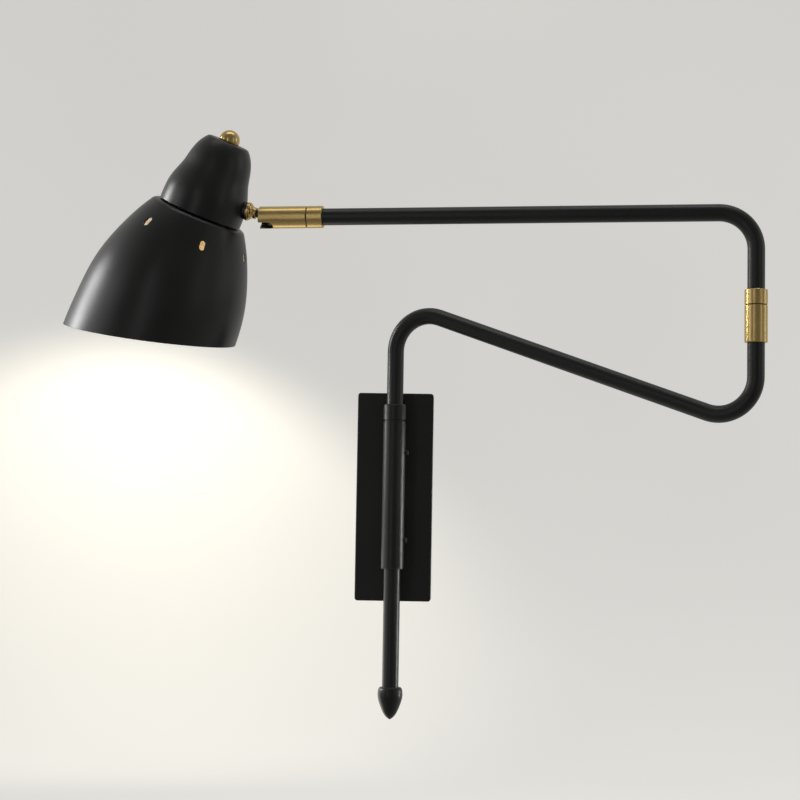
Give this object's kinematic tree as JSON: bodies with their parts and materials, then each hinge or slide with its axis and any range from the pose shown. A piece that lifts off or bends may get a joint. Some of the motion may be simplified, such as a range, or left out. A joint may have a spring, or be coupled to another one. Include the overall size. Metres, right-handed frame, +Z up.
{
  "type": "swing arm wall sconce",
  "caption": "Wall lamp with a slim upright plate, a post-held barrel, two swinging tube arms joined by an elbow and a bell shade on a tilting ball swivel.",
  "frame": {"origin": "middle of the wall plate, in the plane of the wall, between the two wall screw slots", "axes": "+Z up; +Y into the wall, the lamp stands in front of it at negative Y; +X from the plate towards the elbow, along the long way of the object as stored"},
  "size_m": [0.6614, 0.1917, 0.5587],
  "materials": {
    "black_powder_coat": "satin powder coat",
    "satin_brass": "brushed satin",
    "black_steel": "black oxide, satin",
    "zinc_steel": "zinc plated, satin",
    "contact_brass": "plain",
    "bulb_cap_metal": "plain",
    "black_nylon": "matt",
    "natural_nylon": "matt",
    "grommet_rubber": "matt",
    "black_phenolic": "half gloss",
    "opal_glass": "opal, lit warm white",
    "lead_jacket": "smooth jacket"
  },
  "bodies": {
    "wall_unit": {"wall_cover": "black_powder_coat", "mounting_bracket": "zinc_steel", "cover_screws": "black_steel", "stiffener_plate": "zinc_steel", "standoff_posts": "black_powder_coat", "post_nuts": "zinc_steel", "inlet_grommet": "grommet_rubber", "terminal_block": "natural_nylon", "terminal_screws": "zinc_steel", "earth_screw": "zinc_steel", "barrel": "black_powder_coat", "upper_barrel_bush": "natural_nylon", "lower_barrel_bush": "natural_nylon", "barrel_set_screws": "black_steel", "tail_sleeve": "zinc_steel", "tail_tube": "black_powder_coat", "tail_finial": "black_powder_coat", "supply_lead": "lead_jacket"},
    "lower_arm": {"lower_arm_tube": "black_powder_coat", "thrust_washer": "black_nylon", "stop_collar": "black_powder_coat", "collar_set_screw": "black_steel", "stem_circlip": "zinc_steel", "elbow_sleeve": "satin_brass", "elbow_bush": "natural_nylon", "lower_arm_lead": "lead_jacket"},
    "upper_arm": {"upper_arm_tube": "black_powder_coat", "elbow_ring": "satin_brass", "elbow_washer": "black_nylon", "elbow_spindle": "zinc_steel", "elbow_nut": "zinc_steel", "head_ring": "satin_brass", "swivel_washer": "black_nylon", "swivel_spindle": "zinc_steel", "swivel_nut": "zinc_steel", "upper_arm_lead": "lead_jacket"},
    "swivel": {"swivel_sleeve": "satin_brass", "swivel_bush": "natural_nylon", "ball_seat": "black_nylon", "friction_pad": "natural_nylon", "disc_springs": "zinc_steel"},
    "ball": {"swivel_ball": "black_steel"},
    "head": {"head_stud": "satin_brass", "stud_washer": "black_steel", "stud_nut": "zinc_steel", "shade_cap": "black_powder_coat", "cap_ball_nut": "satin_brass", "threaded_nipple": "zinc_steel", "nipple_nut": "zinc_steel", "holder_cap": "black_phenolic", "holder_body": "black_phenolic", "screw_shell": "zinc_steel", "centre_contact": "contact_brass", "shade_ring": "black_phenolic", "shade": "black_powder_coat", "bulb_glass": "opal_glass", "bulb_base": "bulb_cap_metal", "head_lead": "lead_jacket"}
  },
  "joints": [
    {"name": "arm_swing", "type": "hinge", "parent": "wall_unit", "child": "lower_arm", "pos_m": [0, -0.052, 0.075], "axis": [0, 0, 1], "range_deg": [-158.7, 21.3]},
    {"name": "elbow_swing", "type": "hinge", "parent": "lower_arm", "child": "upper_arm", "pos_m": [0.3314, -0.18121, 0.1755], "axis": [0, 0, 1], "range_deg": [-5, 340]},
    {"name": "head_roll", "type": "hinge", "parent": "upper_arm", "child": "swivel", "pos_m": [-0.11869, -0.11955, 0.2608], "axis": [-0.9907, 0.1357, 0], "range_deg": [-170, 170]},
    {"name": "head_tilt", "type": "hinge", "parent": "swivel", "child": "ball", "pos_m": [-0.11869, -0.11955, 0.2608], "axis": [-0.123, -0.8979, 0.4226], "range_deg": [-4, 37]},
    {"name": "head_spin", "type": "hinge", "parent": "ball", "child": "head", "pos_m": [-0.11869, -0.11955, 0.2608], "axis": [-0.9632, 0.0925, 0.2524], "range_deg": [-170, 170]}
  ]
}
